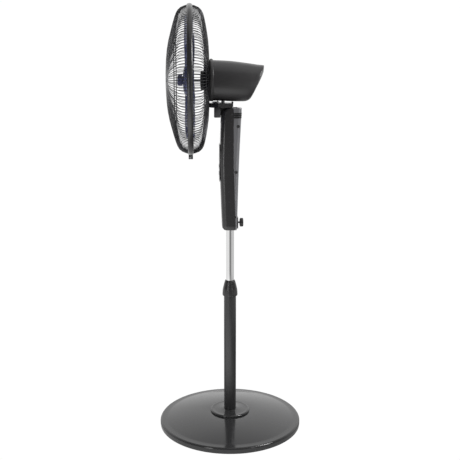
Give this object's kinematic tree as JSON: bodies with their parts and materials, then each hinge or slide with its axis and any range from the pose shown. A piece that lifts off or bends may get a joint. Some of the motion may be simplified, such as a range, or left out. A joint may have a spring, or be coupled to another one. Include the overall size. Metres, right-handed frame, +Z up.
{
  "type": "pedestal fan",
  "caption": "Pedestal fan with a round base, telescopic pole, control box, tilting and swinging head, and a wire guard around smoky blades.",
  "frame": {"origin": "on the floor under the middle of the pole and base", "axes": "+Z up along the pole, the fan blows towards -X, +Y is to the right of someone facing +X"},
  "size_m": [0.447, 0.447, 1.308],
  "materials": {
    "gloss_black": "glossy near-black moulded plastic",
    "housing_grey": "satin dark grey moulded plastic",
    "pole_black": "gloss black powder coat",
    "base_grey": "glossy dark grey plastic",
    "rear_cover_grey": "metallic grey plastic",
    "chrome": "polished",
    "steel": "zinc plated",
    "wire_steel": "dark chromed wire",
    "cast_iron": "raw casting",
    "rubber": "matt",
    "blade_smoke": "translucent smoky blue",
    "badge_silver": "metallic silver",
    "copper": "enamelled copper wire",
    "brass": "sintered",
    "aluminium": "die cast",
    "circuit_green": "solder mask",
    "window_black": "smoked window",
    "key_grey": "satin"
  },
  "bodies": {
    "stand": {"base_cover": "base_grey", "base_ballast": "cast_iron", "foot_1": "rubber", "foot_2": "rubber", "foot_3": "rubber", "foot_4": "rubber", "pole_socket": "steel", "pole_bolt": "steel", "pole_escutcheon": "base_grey", "outer_pole": "pole_black", "pole_liner": "gloss_black"},
    "collar": {"lock_collar": "gloss_black"},
    "column": {"inner_tube": "chrome", "tube_guide": "gloss_black", "tilt_yoke": "steel", "tilt_bolt": "steel", "tilt_nut": "steel", "control_front_cover": "gloss_black", "control_rear_cover": "rear_cover_grey", "cover_screw_1": "steel", "cover_screw_2": "steel", "cover_screw_3": "steel", "clamp_plate": "gloss_black", "cord_gland": "rubber", "control_panel": "gloss_black", "display_window": "window_black", "circuit_board": "circuit_green"},
    "clamp": {"clamp_knob": "gloss_black"},
    "power_button": {"power_key": "key_grey"},
    "speed_button": {"speed_key": "key_grey"},
    "timer_button": {"timer_key": "key_grey"},
    "swing_button": {"swing_key": "key_grey"},
    "neck": {"neck_bracket": "gloss_black", "pivot_bush": "brass", "swing_motor": "steel", "swing_motor_cover": "gloss_black"},
    "crank": {"swing_crank": "steel"},
    "link": {"swing_link": "steel"},
    "head": {"pivot_post": "steel", "pivot_clip": "steel", "motor_front_bracket": "aluminium", "motor_rear_bracket": "aluminium", "stator_core": "steel", "stator_coil_front": "copper", "stator_coil_rear": "copper", "front_bearing": "brass", "rear_bearing": "brass", "motor_housing": "housing_grey", "motor_front_cover": "housing_grey", "grille_lock_nut": "gloss_black", "front_grille": "wire_steel", "rear_grille": "wire_steel", "guard_rim": "gloss_black", "front_badge": "badge_silver", "rim_clip": "gloss_black", "rim_screw": "steel"},
    "rotor": {"rotor_shaft": "steel", "rotor_core": "aluminium", "fan_blades": "blade_smoke", "blade_spinner": "blade_smoke"}
  },
  "joints": [
    {"name": "height", "type": "slide", "parent": "stand", "child": "column", "axis": [0, 0, 1], "range_m": [-0.14, 0.13]},
    {"name": "collar_twist", "type": "hinge", "parent": "stand", "child": "collar", "pos_m": [0, 0, 0.431], "axis": [0, 0, 1], "range_deg": [0, 150]},
    {"name": "clamp_turn", "type": "hinge", "parent": "column", "child": "clamp", "pos_m": [0.024, 0, 0.66], "axis": [1, 0, 0], "range_deg": [-30, 30]},
    {"name": "tilt", "type": "hinge", "parent": "column", "child": "neck", "pos_m": [0.003, 0, 0.9885], "axis": [0, 1, 0], "range_deg": [-6, 20]},
    {"name": "swing", "type": "hinge", "parent": "neck", "child": "head", "pos_m": [-0.021, 0, 1.0225], "axis": [0, 0, 1], "range_deg": [-45, 45]},
    {"name": "crank_turn", "type": "hinge", "parent": "neck", "child": "crank", "pos_m": [-0.0386, -0.02, 1.023], "axis": [0, 0, 1], "range_deg": [-90, 90]},
    {"name": "link_turn", "type": "hinge", "parent": "crank", "child": "link", "pos_m": [-0.04991, -0.02, 1.0251], "axis": [0, 0, 1], "range_deg": [-90, 90]},
    {"name": "rotor_spin", "type": "hinge", "parent": "head", "child": "rotor", "pos_m": [0, 0, 1.088], "axis": [1, 0, 0], "continuous": true},
    {"name": "power_press", "type": "slide", "parent": "column", "child": "power_button", "axis": [1, 0, 0], "range_m": [0, 0.0009], "stiffness_N_per_m": 400},
    {"name": "speed_press", "type": "slide", "parent": "column", "child": "speed_button", "axis": [1, 0, 0], "range_m": [0, 0.0009], "stiffness_N_per_m": 400},
    {"name": "timer_press", "type": "slide", "parent": "column", "child": "timer_button", "axis": [1, 0, 0], "range_m": [0, 0.0009], "stiffness_N_per_m": 400},
    {"name": "swing_press", "type": "slide", "parent": "column", "child": "swing_button", "axis": [1, 0, 0], "range_m": [0, 0.0009], "stiffness_N_per_m": 400}
  ],
  "couplings": [
    {"joint": "crank_turn", "follows": "swing", "ratio": 2},
    {"joint": "link_turn", "follows": "swing", "ratio": -2}
  ]
}
